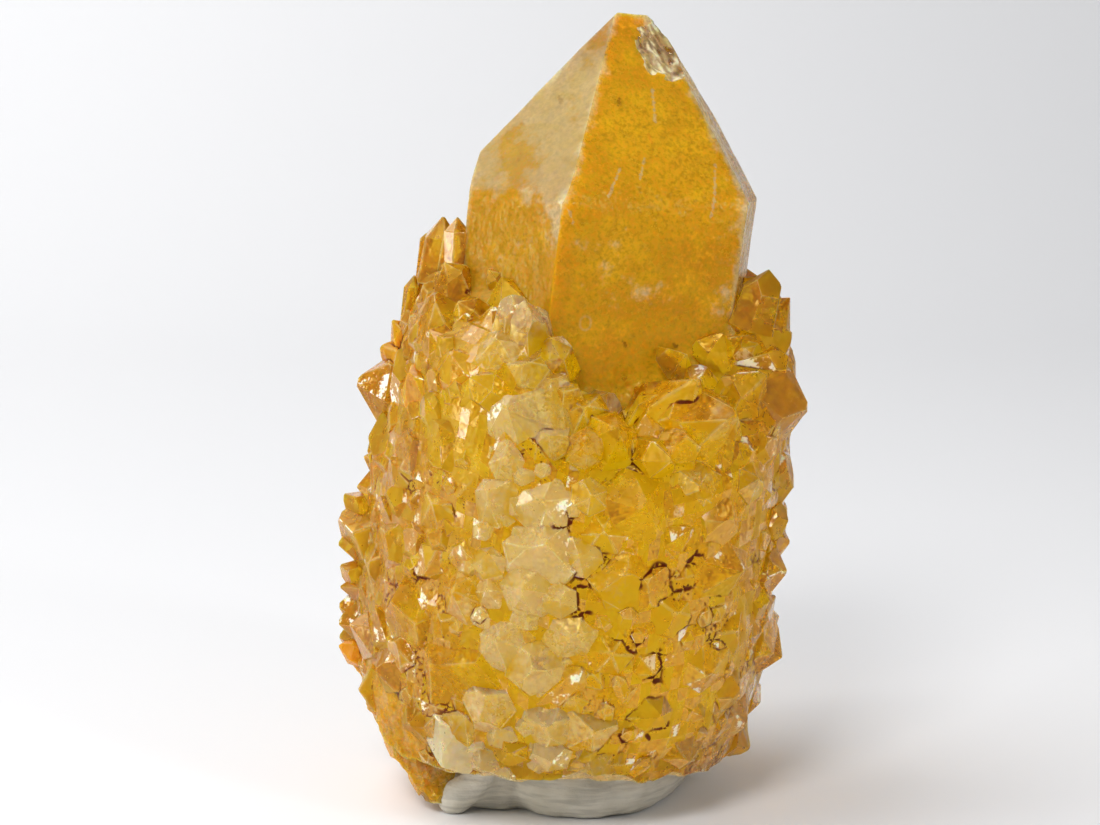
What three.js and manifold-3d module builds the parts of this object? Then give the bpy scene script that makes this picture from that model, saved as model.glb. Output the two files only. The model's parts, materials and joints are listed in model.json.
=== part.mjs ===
// Cactus quartz: one large six-sided quartz point whose lower two thirds are crusted with small
// quartz points, standing on a pressed pad of mounting putty. The quartz grew as one piece, so it is one
// solid. Millimetres, +Z up, the front faces -Y. The origin is the middle of the putty's flat base.
import * as THREE from "three";
import { mergeVertices } from "three/addons/utils/BufferGeometryUtils.js";
import Module from "manifold-3d";

const wasm = await Module();
wasm.setup();

// ---- Driving dimensions ------------------------------------------------------------------------

const LEAN = 6.7; // degrees that the main crystal's axis leans towards +X
const AXIS_FOOT_X = -2.5; // where that axis meets the surface that the specimen stands on
const FACE_SLOPE = 38.2; // degrees between a terminal face of quartz and the crystal's axis
const GAP = 0.3; // clearance between the quartz and the putty
const SMALLEST_EDGE = 0.1; // edges shorter than this are merged away

// The main crystal's six sides, going round from the front left: direction in degrees from the front
// towards +X, distance from the axis, height where the terminal face starts, degrees between that face
// and the axis. No two sides are alike, as in most quartz.
const MAIN_SIDES = [
  [-42, 10.2, 50.9, 37], [18, 7.8, 51.4, 38], [78, 11.2, 51.6, 37],
  [138, 8.9, 56, 33], [198, 8.7, 60, 38], [258, 11, 53.1, 35.5],
];
// The shell-shaped chip beside the tip is cut by a ball: its middle and its radius.
const CHIP = { middle: [4.5, -3.7, 68.6], radius: 9 };

// The crust's upper edge, as [azimuth, height]: it dips at the front, where the big face is bare.
const RIM = [
  [-180, 46], [-120, 47], [-88, 46], [-60, 44.5], [-30, 43.5], [-17, 41], [-8, 38],
  [8, 37.2], [33, 39.5], [62, 42], [75, 46], [120, 47], [180, 46],
];
// How far the crust's tips stand from the axis, as [height, distance].
const GIRTH = [
  [0, 13], [4, 15.4], [10, 17.4], [16, 17.9], [30, 17.9], [38, 17], [44, 15.4], [50, 13.5],
];
const FLARE = { start: 1.6, perMillimetre: 0.85 }; // how the crust thickens below its upper edge
const BED_DEPTH = 3.0; // the solid bed that the small crystals grow from lies this far under their tips

// The crystals that stand out, from the left edge round the front to the right edge: [azimuth, height and
// distance of the tip, width, degrees that it points up, degrees that it turns towards +X].
const STANDING_OUT = [
  // left edge, from the top down
  [-88, 47.8, 14.0, 3.4, 88, 0], [-80, 48.1, 13.0, 2.2, 86, 0], [-88, 42.7, 15.8, 2.0, 82, 0],
  [-88, 40.4, 16.3, 2.6, 50, 0], [-88, 38.8, 17.2, 2.8, 44, 0], [-88, 36.4, 18.0, 3.6, 24, 0],
  [-87, 33.2, 19.6, 5.6, 4, 0], [-82, 31.4, 16.8, 5.6, 66, 0], [-87, 24.5, 18.7, 3.8, 6, 0],
  [-86, 21.8, 19.9, 6.4, 20, 0], [-88, 15.6, 19.2, 4.0, -4, 0],
  [-85, 12.6, 19.0, 4.6, -8, 0], [-86, 9.7, 18.2, 3.0, -12, 0],
  // left of the front
  [-65, 42.2, 15.2, 5.4, 58, -6], [-62, 35.8, 17.0, 4.4, 30, 4], [-63, 28.6, 17.8, 4.6, 24, 0],
  [-60, 22.6, 18.0, 4.6, 20, 6], [-52, 17.6, 18.4, 6.0, 14, -8], [-58, 11.2, 17.8, 4.4, 0, 0],
  [-46, 38.4, 16.4, 3.8, 40, 0], [-44, 32.6, 17.4, 4.8, 26, 4], [-43, 26.4, 17.6, 4.2, 22, 0],
  // front, from the top down
  [-34, 43.4, 13.6, 2.6, 66, 6], [-28, 43.2, 14.0, 3.4, 60, -4], [-34, 40.0, 15.2, 4.0, 30, 0],
  [-18, 40.6, 13.4, 2.8, 42, 0], [-24, 38.4, 15.0, 3.2, 28, 0], [-16, 37.4, 13.8, 2.8, 30, 0],
  [-11, 36.6, 13.8, 2.8, 22, 4], [-25, 35.2, 17.2, 7.4, 18, -4], [-4, 35.6, 13.6, 3.8, 28, 0],
  [-13, 33.4, 16.0, 3.4, 20, 0], [-2, 33.0, 16.2, 3.2, 16, 0], [-22, 31.6, 17.0, 3.8, 20, 4],
  [-26, 28.6, 17.8, 5.8, 16, -6],
  [-11, 28.6, 17.8, 4.8, 12, 0], [1, 29.4, 17.4, 3.2, 12, 4], [5, 26.6, 17.6, 4.4, 8, 0],
  [-9, 25.2, 18.4, 6.8, 12, 4], [0, 24.6, 17.9, 3.6, 8, 0], [-24, 23.6, 17.4, 3.2, 30, 0],
  [-13, 21.4, 18.2, 4.2, 6, 0], [-4, 20.8, 17.8, 3.0, 4, 0], [-23, 20.6, 17.4, 2.8, 12, 0],
  [-32, 20.0, 18.0, 5.0, 10, -8], [-19, 17.0, 18.0, 4.8, 12, -6], [-8, 15.2, 18.4, 5.0, 4, 0],
  [1, 18.2, 17.9, 4.6, 8, 4], [11, 17.0, 17.6, 3.8, 6, 0], [-20, 12.2, 17.6, 4.2, 26, 0],
  [-3, 10.4, 17.2, 4.4, -2, 0], [-1, 7.4, 16.2, 3.2, -12, 0],
  [9, 10.4, 17.0, 5.2, 4, 6], [13, 5.6, 15.4, 4.2, -34, 0], [19, 7.4, 15.2, 2.8, -20, 0],
  [-31, 6.4, 15.8, 5.6, -14, -6], [-13, 7.6, 16.2, 3.2, -4, 0],
  [-74, 13.6, 18.6, 5.0, 12, 0], [-70, 8.4, 17.6, 5.2, 0, 6], [-46, 7.6, 16.6, 4.6, -4, 0],
  // right of the front
  [7, 34.4, 15.6, 4.6, 26, 6], [33, 38.4, 14.2, 6.0, 56, 4], [26, 34.4, 16.4, 3.6, 34, -12],
  [22, 32.4, 16.6, 3.4, 6, 10], [31, 30.4, 17.0, 4.0, 2, -14], [15, 28.8, 18.0, 6.0, 10, 4],
  [39, 36.4, 17.4, 7.0, 24, 8], [41, 28.0, 17.8, 4.2, 10, 8], [50, 31.0, 17.8, 3.4, 14, 0],
  [57, 39.0, 16.0, 4.0, 44, 0], [27, 20.4, 17.6, 4.2, 10, 0], [46, 23.8, 18.4, 6.8, 4, 8],
  [18, 23.0, 17.4, 4.6, 18, -8], [27, 11.8, 17.4, 4.6, 0, 4], [39, 15.0, 18.0, 6.2, -6, -10],
  [56, 12.8, 17.4, 4.2, -4, 8], [50, 18.4, 17.4, 5.4, 6, 0], [42, 7.4, 16.4, 4.6, -18, 0],
  // right edge, from the top down
  [72, 47.0, 13.6, 3.4, 78, 0], [78, 44.8, 15.4, 4.0, 50, 0], [76, 41.8, 16.0, 4.2, 18, 0],
  [70, 36.4, 18.4, 6.6, 4, 4], [73, 29.4, 18.0, 4.6, -18, 0], [69, 27.0, 18.2, 3.2, 10, 0],
  [70, 22.6, 18.6, 4.0, 4, 0], [75, 24.8, 18.2, 3.2, 6, 0], [66, 20.2, 17.6, 3.2, 10, 0],
  [76, 14.8, 18.8, 5.6, -16, 0], [84, 10.0, 17.4, 3.4, -8, 0], [82, 6.0, 17.0, 5.0, -16, 0],
];

// The crystals between those come in these sizes, largest first: how wide, how much of each other's room
// they may take, how far their tips stand back from the crust's outer line, and how many places are tried.
const FILL_SIZES = [
  { width: 7.2, packing: 0.88, standBack: 0.2, tries: 900 },
  { width: 5.4, packing: 0.84, standBack: 0.9, tries: 1500 },
];
const FILL_SEED = 7;

// The broken lower end: a rough surface that lies on the putty, and a tongue that hangs lower at the left.
const BREAK = { height: 4.3, fall: [-0.05, -0.07], roughness: 0.45 };
const TONGUE = { right: -10.4, front: -6.6, turn: 16, lowest: 0.9, cutThrough: [-15.4, 0, 6.3], slope: 54 };
// The lump that the tongue is part of: its middle and its half sizes.
const TONGUE_LUMP = { middle: [-11.4, -1.5, 8], halves: [6.6, 9, 8] };

// The putty pad: [height, radius] of its side, its depth as a share of its width, and its pinched lobes.
const PUTTY_SIDE = [[0, 8.0], [0.6, 9.2], [1.8, 10.3], [3.4, 10.8], [6, 10.6]];
const PUTTY_DEPTH = 0.84;
const PUTTY_LOBES = [
  { azimuth: -51, reach: 3.6, spread: 13 }, { azimuth: 150, reach: 0.9, spread: 30 },
];

// ---- Small helpers -------------------------------------------------------------------------------

const radians = THREE.MathUtils.degToRad;

// A closed three.js geometry as a manifold solid.
function solidFrom(geometry) {
  geometry.deleteAttribute("normal");
  geometry.deleteAttribute("uv");
  const merged = mergeVertices(geometry, 1e-5);
  return new wasm.Manifold(
    new wasm.Mesh({
      numProp: 3,
      vertProperties: new Float32Array(merged.attributes.position.array),
      triVerts: new Uint32Array(merged.index.array),
    }),
  );
}

// A manifold solid as a three.js geometry with flat faces.
function geometryFrom(solid) {
  const { numProp, vertProperties, triVerts } = solid.getMesh();
  const positions = new Float32Array(triVerts.length * 3);
  triVerts.forEach((vertex, i) => {
    const start = vertex * numProp;
    positions.set(vertProperties.subarray(start, start + 3), i * 3);
  });
  const geometry = new THREE.BufferGeometry();
  geometry.setAttribute("position", new THREE.BufferAttribute(positions, 3));
  geometry.computeVertexNormals();
  return geometry;
}

// Straight-line interpolation in a list of [place, value].
function along(list, place) {
  const next = list.findIndex(([p]) => p >= place);
  if (next < 0) return list.at(-1)[1];
  if (next === 0) return list[0][1];
  const [p0, v0] = list[next - 1];
  const [p1, v1] = list[next];
  return v0 + ((v1 - v0) * (place - p0)) / (p1 - p0);
}

// The direction across the axis at an azimuth: 0 is the front, 90 is +X.
const outward = (azimuth) => [Math.sin(radians(azimuth)), -Math.cos(radians(azimuth))];

// Repeatable numbers from 0 to 1.
function randomFrom(seed) {
  let state = seed;
  return () => {
    state = (Math.imul(state, 1664525) + 1013904223) >>> 0;
    return state / 4294967296;
  };
}

// ---- The main crystal ----------------------------------------------------------------------------

// Cuts away what lies beyond a plane that faces outward at an azimuth and leans by `slope` from the axis.
function cutFace(solid, azimuth, slope, distanceFromOrigin) {
  const [x, y] = outward(azimuth);
  const across = Math.cos(radians(slope));
  const up = Math.sin(radians(slope));
  return solid.trimByPlane([-x * across, -y * across, -up], -distanceFromOrigin);
}

function mainCrystal() {
  let crystal = solidFrom(new THREE.BoxGeometry(40, 40, 80).translate(0, 0, 35));
  for (const [azimuth, distance, shoulder, slope] of MAIN_SIDES) {
    const leanBack = radians(slope);
    crystal = cutFace(crystal, azimuth, 0, distance);
    crystal = cutFace(
      crystal, azimuth, slope, distance * Math.cos(leanBack) + shoulder * Math.sin(leanBack),
    );
  }
  const chip = new THREE.IcosahedronGeometry(CHIP.radius, 6).translate(...CHIP.middle);
  return crystal.subtract(solidFrom(chip));
}

// Distance from the axis to the main crystal's side at an azimuth.
function mainSide(azimuth) {
  const reaches = MAIN_SIDES.map(([direction, distance]) => {
    const turn = Math.cos(radians(azimuth - direction));
    return turn > 0.05 ? distance / turn : Infinity;
  });
  return Math.min(...reaches);
}

// ---- The crust -----------------------------------------------------------------------------------

// How far the small crystals' tips reach from the axis at a place on the crust.
function crustReach(azimuth, height) {
  const belowRim = Math.max(0, along(RIM, azimuth) - height);
  const flared = mainSide(azimuth) + FLARE.start + FLARE.perMillimetre * belowRim;
  return Math.min(along(GIRTH, height), flared);
}

// Small crystals fan out: upright near the crust's upper edge, level lower down, drooping at the base.
function crustPitch(azimuth, height) {
  const belowRim = Math.max(0, along(RIM, azimuth) - height);
  return -14 + 22 * Math.min(1, height / 16) + 44 * Math.exp(-belowRim / 5);
}

// One small crystal on +Z with its tip at the origin: a slightly tapering six-sided prism under six
// terminal faces, three of them large and three small as quartz often has them.
function smallCrystal(width, length, random) {
  const radius = width / 2;
  const prism = new THREE.CylinderGeometry(radius * 0.94, radius * 1.4, length, 6);
  prism.rotateX(Math.PI / 2).translate(0, 0, -length / 2);
  let crystal = solidFrom(prism);
  const tilt = radians(FACE_SLOPE);
  for (let side = 0; side < 6; side++) {
    const setBack = side % 2 ? random() * 0.22 * radius : random() * 0.1 * radius;
    const direction = 60 * side;
    crystal = crystal.trimByPlane(
      [
        -Math.cos(radians(direction)) * Math.cos(tilt),
        -Math.sin(radians(direction)) * Math.cos(tilt),
        -Math.sin(tilt),
      ],
      -setBack,
    );
  }
  return crystal.scale([0.9 + 0.25 * random(), 1, 1]);
}

// Places a small crystal so that its tip stands at the given place.
function planted([azimuth, height, reach, width, pitch, turn], random) {
  const length = Math.min(reach - 6, width * 2 + 4);
  const [x, y] = outward(azimuth);
  const [dx, dy] = outward(azimuth + turn);
  const up = Math.sin(radians(pitch));
  const level = Math.cos(radians(pitch));
  const direction = new THREE.Vector3(dx * level, dy * level, up);
  const twist = new THREE.Quaternion().setFromAxisAngle(
    new THREE.Vector3(0, 0, 1), 2 * Math.PI * random(),
  );
  const aim = new THREE.Quaternion().setFromUnitVectors(new THREE.Vector3(0, 0, 1), direction);
  const place = new THREE.Matrix4().compose(
    new THREE.Vector3(x * reach, y * reach, height),
    aim.multiply(twist),
    new THREE.Vector3(1, 1, 1),
  );
  return smallCrystal(width, length, random).transform(place.elements);
}

// Fills the crust between the crystals that stand out, each new one in free room.
function fillCrust(crystals, sizes, random) {
  for (const { width: nominal, packing, standBack, tries } of sizes) {
    for (let i = 0; i < tries; i++) {
      const azimuth = -180 + 360 * random();
      const share = random();
      const width = nominal * (0.85 + 0.3 * random());
      const wobble = random() - 0.5;
      const pitchWobble = random() - 0.5;
      const turn = 30 * (random() - 0.5);
      const rim = along(RIM, azimuth);
      const height = 4 + (rim - 4) * share;
      const reach = crustReach(azimuth, height) - standBack + 1.4 * wobble;
      const isFree = crystals.every(([a, h, r, w]) => {
        const apart = Math.abs(((a - azimuth + 540) % 360) - 180);
        const sideways = radians(apart) * 0.5 * (r + reach);
        return Math.hypot(sideways, h - height) > packing * 0.5 * (w + width);
      });
      if (isFree) {
        const pitch = crustPitch(azimuth, height) + 30 * pitchWobble;
        crystals.push([azimuth, height, reach, width, pitch, turn]);
      }
    }
  }
  return crystals;
}

// The bed that the small crystals grow from: a lathed body whose upper edge follows the rim, where it
// tucks into the main crystal.
function crustBed() {
  const bottom = -4;
  const rings = 11;
  const profile = [new THREE.Vector2(0, 0)];
  for (let ring = 0; ring < rings; ring++) profile.push(new THREE.Vector2(1, ring / (rings - 1)));
  profile.push(new THREE.Vector2(0, 1));
  const bed = new THREE.LatheGeometry(profile, 24).rotateX(Math.PI / 2);
  const place = bed.attributes.position;
  for (let i = 0; i < place.count; i++) {
    const share = place.getZ(i);
    if (Math.hypot(place.getX(i), place.getY(i)) < 0.5) {
      place.setZ(i, share > 0.5 ? 30 : bottom);
      continue;
    }
    const azimuth = THREE.MathUtils.radToDeg(Math.atan2(place.getX(i), -place.getY(i)));
    const height = bottom + share * (along(RIM, azimuth) - 1 - bottom);
    const radius = share > 0.999 ? 4 : Math.max(6, crustReach(azimuth, height) - BED_DEPTH);
    const [x, y] = outward(azimuth);
    place.setXYZ(i, x * radius, y * radius, height);
  }
  return solidFrom(bed);
}

// ---- The broken base -----------------------------------------------------------------------------

// A block whose rough top is the surface that the quartz broke along. The putty takes it lowered.
function breakBlock(lowered) {
  const depth = 20;
  const block = new THREE.BoxGeometry(60, 60, depth, 10, 10, 1);
  const place = block.attributes.position;
  for (let i = 0; i < place.count; i++) {
    const x = place.getX(i);
    const y = place.getY(i);
    const rough = BREAK.roughness * Math.sin(0.61 * x + 0.9) * Math.cos(0.47 * y + 0.4);
    const top = BREAK.height + BREAK.fall[0] * x + BREAK.fall[1] * y + rough - lowered;
    place.setZ(i, place.getZ(i) > 0 ? top : top - depth);
  }
  return solidFrom(block);
}

// The room that the tongue takes, grown by a clearance. It narrows towards the back.
function tongueRoom(clearance) {
  const room = new THREE.BoxGeometry(40, 40, 40).translate(clearance - 20, 20 - clearance, 0);
  return solidFrom(room.rotateZ(radians(TONGUE.turn)).translate(TONGUE.right, TONGUE.front, 0));
}

// ---- The two pieces ------------------------------------------------------------------------------

// From the crystal's own frame, along its axis, to the frame of the surface it stands on.
function stood(solid) {
  const lean = new THREE.Matrix4().makeRotationY(radians(LEAN));
  return solid.transform(new THREE.Matrix4().makeTranslation(AXIS_FOOT_X, 0, 0).multiply(lean).elements);
}

function tongueLump() {
  const lump = new THREE.SphereGeometry(1, 10, 7).scale(...TONGUE_LUMP.halves);
  return solidFrom(lump.translate(...TONGUE_LUMP.middle));
}

function quartzSolid() {
  const random = randomFrom(FILL_SEED);
  const crystals = fillCrust([...STANDING_OUT], FILL_SIZES, random);
  const pieces = crystals.map((crystal) => planted(crystal, random));
  const grown = stood(wasm.Manifold.union([mainCrystal(), crustBed(), ...pieces])).add(tongueLump());
  const slope = radians(TONGUE.slope);
  const facing = [Math.sin(slope), 0, Math.cos(slope)];
  const offset = TONGUE.cutThrough[0] * facing[0] + TONGUE.cutThrough[2] * facing[2];
  const broken = grown
    .subtract(breakBlock(0).subtract(tongueRoom(0)))
    .trimByPlane(facing, offset)
    .trimByPlane([0, 0, 1], TONGUE.lowest)
    .simplify(SMALLEST_EDGE);
  // Booleans can leave a sealed pocket between crystals: the outermost shell is the piece itself.
  const shells = broken.decompose();
  return shells.reduce((largest, shell) => (shell.volume() > largest.volume() ? shell : largest));
}

function puttySolid() {
  const top = PUTTY_SIDE.at(-1)[0];
  const profile = [
    new THREE.Vector2(0, 0),
    ...PUTTY_SIDE.map(([height, radius]) => new THREE.Vector2(radius, height)),
    new THREE.Vector2(0, top),
  ];
  const pad = new THREE.LatheGeometry(profile, 32).rotateX(Math.PI / 2);
  const place = pad.attributes.position;
  for (let i = 0; i < place.count; i++) {
    const x = place.getX(i);
    const y = place.getY(i);
    const azimuth = THREE.MathUtils.radToDeg(Math.atan2(x, -y));
    const lobes = PUTTY_LOBES.reduce((sum, lobe) => {
      const away = (((azimuth - lobe.azimuth + 540) % 360) - 180) / lobe.spread;
      return sum + lobe.reach * Math.exp(-away * away);
    }, 0);
    const grow = 1 + lobes / 10;
    place.setXY(i, x * grow, y * grow * PUTTY_DEPTH);
  }
  return solidFrom(pad).intersect(breakBlock(GAP)).subtract(tongueRoom(GAP)).simplify(SMALLEST_EDGE);
}

const quartz = new THREE.Mesh(
  geometryFrom(quartzSolid()),
  new THREE.MeshStandardMaterial({ color: 0xd9a22e, roughness: 0.25, metalness: 0, flatShading: true }),
);
quartz.name = "cactus_quartz";

const putty = new THREE.Mesh(
  geometryFrom(puttySolid()),
  new THREE.MeshStandardMaterial({ color: 0xaeb0a8, roughness: 0.85, metalness: 0 }),
);
putty.name = "mounting_putty";

const specimen = new THREE.Group();
specimen.add(quartz, putty);
export default specimen;
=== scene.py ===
import json
import math

import bmesh
import bpy
from mathutils import Matrix, Quaternion, Vector
from mathutils.noise import noise, voronoi

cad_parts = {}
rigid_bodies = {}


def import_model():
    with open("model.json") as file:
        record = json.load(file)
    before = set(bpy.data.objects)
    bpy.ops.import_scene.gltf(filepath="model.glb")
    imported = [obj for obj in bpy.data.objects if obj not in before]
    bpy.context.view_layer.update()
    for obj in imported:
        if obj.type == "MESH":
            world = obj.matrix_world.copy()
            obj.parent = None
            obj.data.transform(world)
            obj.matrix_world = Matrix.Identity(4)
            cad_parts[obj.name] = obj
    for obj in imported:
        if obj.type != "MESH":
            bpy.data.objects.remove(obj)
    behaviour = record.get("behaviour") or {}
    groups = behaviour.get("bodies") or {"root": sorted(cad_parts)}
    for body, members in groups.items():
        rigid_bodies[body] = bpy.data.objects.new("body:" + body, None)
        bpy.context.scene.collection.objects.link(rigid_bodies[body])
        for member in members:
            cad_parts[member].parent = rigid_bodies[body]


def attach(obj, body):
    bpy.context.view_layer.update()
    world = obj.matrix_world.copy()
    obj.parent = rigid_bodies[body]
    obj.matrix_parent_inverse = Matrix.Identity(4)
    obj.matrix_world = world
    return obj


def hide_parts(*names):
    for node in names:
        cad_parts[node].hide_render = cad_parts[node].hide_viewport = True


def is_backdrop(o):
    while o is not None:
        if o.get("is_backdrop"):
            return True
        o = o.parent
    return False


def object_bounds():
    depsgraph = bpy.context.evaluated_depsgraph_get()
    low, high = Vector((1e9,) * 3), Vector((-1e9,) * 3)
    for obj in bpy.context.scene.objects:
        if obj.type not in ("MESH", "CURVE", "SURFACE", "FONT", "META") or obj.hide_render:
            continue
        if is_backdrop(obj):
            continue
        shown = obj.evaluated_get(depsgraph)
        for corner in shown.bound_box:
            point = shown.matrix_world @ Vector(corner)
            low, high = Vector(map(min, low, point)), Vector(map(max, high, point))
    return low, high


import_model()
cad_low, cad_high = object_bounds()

# A cactus quartz standing on a pad of mounting putty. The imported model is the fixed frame: metres, +Z up,
# the specimen's front faces -Y. The shapes below are worked in millimetres and made metres at the end.

# ---- The large point ------------
# One six-sided quartz crystal, leaning a little to the right, with unequal sides and a shell-shaped chip
# beside its tip. Its faces carry the low steps, pits and hillocks that they grew with.

crystal_lean = math.radians(6.7)
stand_up = Matrix.Translation((-2.5, 0, 0)) @ Matrix.Rotation(crystal_lean, 4, "Y")

# Direction of each side from the front, distance from the axis, height where the terminal face starts,
# slope of that face from the axis, and how milky the side is.
large_sides = [
    (-42, 10.2, 50.9, 37, 0.16), (18, 7.8, 51.4, 38, 0.04), (78, 11.2, 52.2, 37.5, 0.45),
    (138, 8.9, 58, 33, 0.30), (198, 8.7, 59.6, 38, 0.25), (258, 11.2, 53.5, 35.5, 0.35),
]
front_left, front_right = 0, 1


def outward(azimuth):
    """The level direction at an azimuth: 0 is the front, 90 is the right."""
    turn = math.radians(azimuth)
    return Vector((math.sin(turn), -math.cos(turn), 0))


def slice_through(mesh, point, facing, dist, clear_outer=False):
    """Cuts a mesh along a plane."""
    everything = mesh.verts[:] + mesh.edges[:] + mesh.faces[:]
    return bmesh.ops.bisect_plane(
        mesh, geom=everything, dist=dist, plane_co=point, plane_no=facing, clear_outer=clear_outer
    )


def cleave(mesh, point, facing):
    """Cuts off what lies beyond a plane and closes the cut with one flat face."""
    cut = slice_through(mesh, point, facing, 1e-5, clear_outer=True)
    rim = [part for part in cut["geom_cut"] if isinstance(part, bmesh.types.BMEdge)]
    bmesh.ops.edgenet_fill(mesh, edges=rim)


def turn_outwards(mesh):
    bmesh.ops.recalc_face_normals(mesh, faces=mesh.faces[:])


def smooth_step(low, high, value):
    """0 up to the first value, 1 from the second one on, and a soft step between them, either way round."""
    share = min(1.0, max(0.0, (value - low) / (high - low)))
    return share * share * (3 - 2 * share)


def growth_relief(place):
    """How far a spot on the large point stands proud: low plates, hillocks, pits and a fine grain."""
    plates = 2.6 * noise(place * 0.16 + Vector((4, 1, 7)))
    step = math.floor(plates) + smooth_step(0.42, 0.58, plates - math.floor(plates))
    hillocks = noise(Vector((place.x, place.y, place.z * 0.7)) * 0.75)
    grain = noise(place * 2.6)
    pit_distance = voronoi(place * 0.34)[0][0]
    pit = max(0.0, 1 - pit_distance / 0.13)
    rougher = 0.05 * smooth_step(48, 36, place.z)
    return 0.05 * step + (0.035 + rougher) * hillocks + (0.014 + rougher) * grain - 0.22 * pit * pit


large_point = bmesh.new()
bmesh.ops.create_cube(large_point, size=80, matrix=Matrix.Translation((0, 0, 35)))
for azimuth, distance, shoulder, slope, _ in large_sides:
    side = outward(azimuth)
    lean_back = math.radians(slope)
    cleave(large_point, side * distance, side)
    cleave(
        large_point, side * distance + Vector((0, 0, shoulder)),
        side * math.cos(lean_back) + Vector((0, 0, math.sin(lean_back))),
    )
turn_outwards(large_point)


def nearest_side(facing):
    """Which of the large point's sides looks this way."""
    level = Vector((facing.x, facing.y, 0)).normalized()
    return max(range(6), key=lambda number: outward(large_sides[number][0]).dot(level))


def round_off(mesh, edges, width, segments, within_faces=False):
    """Bevels some edges of a mesh, if wanted no wider than the faces beside them have room for."""
    bmesh.ops.bevel(
        mesh, geom=edges, offset=width, offset_type="OFFSET", segments=segments, profile=0.5,
        affect="EDGES", clamp_overlap=within_faces, material=-1,
    )


# Growth rounded off the two front shoulders, the right one so far that it hardly shows.
for number, width in ((front_right, 3.6), (front_left, 0.9)):
    shoulders = [
        edge for edge in large_point.edges
        if all(nearest_side(face.normal) == number and face.normal.z < 0.9 for face in edge.link_faces)
    ]
    round_off(large_point, shoulders, width, 5)
sharp_edges = [edge for edge in large_point.edges if edge.calc_face_angle(0.0) > math.radians(20)]
round_off(large_point, sharp_edges, 0.1, 2)
for face in large_point.faces:
    face.smooth = True
for edge in large_point.edges:
    edge.smooth = edge.calc_face_angle(0.0) < math.radians(14)

# Slicing gives the faces the fine mesh that their relief needs.
slice_step = 0.46
off_the_corners = 0.013
for axis, low, high in ((0, -12, 12), (1, -11, 11), (2, 30, 67)):
    place = low
    while place < high:
        normal = Vector((0, 0, 0))
        normal[axis] = 1.0
        slice_through(large_point, normal * (place + off_the_corners), normal, 0.02)
        place += slice_step if axis == 2 else slice_step * 1.3
large_point.normal_update()
buried_below = 28
moves = [(vert, vert.normal.copy()) for vert in large_point.verts if vert.co.z > buried_below]
for vert, normal in moves:
    vert.co += normal * growth_relief(vert.co) * smooth_step(buried_below, 34, vert.co.z)


def patch(place, middle, spread):
    """1 in the middle of a soft-edged patch on a face, given by its x and height, and 0 well outside it."""
    across = (place.x - middle[0]) / spread[0]
    upward = (place.z - middle[1]) / spread[1]
    return math.exp(-across * across - upward * upward)


def large_point_paint(place, number):
    """How milky, how rusty and how see-through the large point is at a spot on one of its sides. The edges
    where two faces meet are clear, and milky: partly the crystal's own rim, partly a painted highlight."""
    cloud = noise(place * 0.55) + 0.5 * noise(place * 1.3)
    to_faces = []
    for azimuth, distance, shoulder, slope, _ in large_sides:
        to_side = distance - outward(azimuth).dot(place)
        lean_back = math.radians(slope)
        to_end = to_side * math.cos(lean_back) + (shoulder - place.z) * math.sin(lean_back)
        to_faces.append(min(to_side, to_end))
    # Milk along the edges: partly the crystal's own rim, partly painted highlight.
    edge = math.exp(-max(0.0, sorted(to_faces)[1]) / 0.32)
    if place.y < -5:
        edge *= smooth_step(47.5, 51.5, place.z + 1.5 * cloud)
    milk, rust, clear = large_sides[number][4], 0.08 + 0.10 * cloud, 0.06
    if number == front_left:
        end_milk = 0.80 - 1.0 * patch(place, (-2.4, 64.6), (2.6, 2.4))
        end_milk -= 0.70 * patch(place, (-8.8, 53.6), (1.6, 2.4)) + 0.35 * cloud
        milk += (end_milk - milk) * smooth_step(49.4, 51.8, place.z + 1.9 * cloud)
        milk += 0.80 * patch(place, (-4.0, 50.6), (1.7, 1.7)) * (0.7 + cloud)
        milk += 0.30 * patch(place, (-5.5, 47.4), (2.6, 1.6)) * (0.7 + cloud)
        rust += 0.22 * patch(place, (-7.0, 44.5), (4.0, 2.2))
        clear = 0.10 + 0.42 * smooth_step(50.0, 52.0, place.z + cloud)
    elif number == front_right:
        milk += 0.20 * max(0.0, cloud - 0.25)
        for middle, spread, share in (
            ((-1.4, 47.8), (2.8, 2.4), 0.24), ((1.6, 45.2), (3.2, 1.8), 0.20),
            ((4.6, 43.2), (4.2, 1.6), 0.22), ((9.4, 46.5), (1.1, 5.0), 0.30),
        ):
            milk += share * patch(place, middle, spread) * (1 + 0.7 * cloud)
        rust += 0.40 * patch(place, (1.2, 39.8), (5.2, 2.7)) * (1 + 0.8 * cloud)
        rust += 0.20 * patch(place, (0.6, 53.4), (2.2, 0.9))
        milk += 1.3 * patch(place, (2.2, 65.3), (1.5, 1.3))
    else:
        milk += 0.3 * cloud
        clear = 0.45
    return max(0.0, milk) + 0.6 * edge, max(0.0, rust) * (1 - edge), max(clear, 0.35 * edge)


def add_marks(mesh):
    """The values written on a mesh that its finish depends on: milk, rust, clearness, a tone of its own for
    each facet, whether it is bare, and the distance below the crystal's own tip."""
    corners, faces = mesh.loops.layers, mesh.faces.layers
    return (
        corners.float.new("milk"), corners.float.new("rust"), corners.float.new("clear"),
        faces.float.new("facet"), faces.float.new("bare"), corners.uv.new("UVMap"),
    )


milk_mark, rust_mark, clear_mark, facet_mark, bare_mark, depth_map = add_marks(large_point)
for face in large_point.faces:
    number = nearest_side(face.normal)
    # The front-left side's low facet tone darkens its colour: painted shade against the key light that falls
    # on it.
    face[facet_mark] = -1.0 if number == front_left else 0.70
    face[bare_mark] = 1.0
    for loop in face.loops:
        loop[milk_mark], loop[rust_mark], loop[clear_mark] = large_point_paint(loop.vert.co, number)

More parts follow.
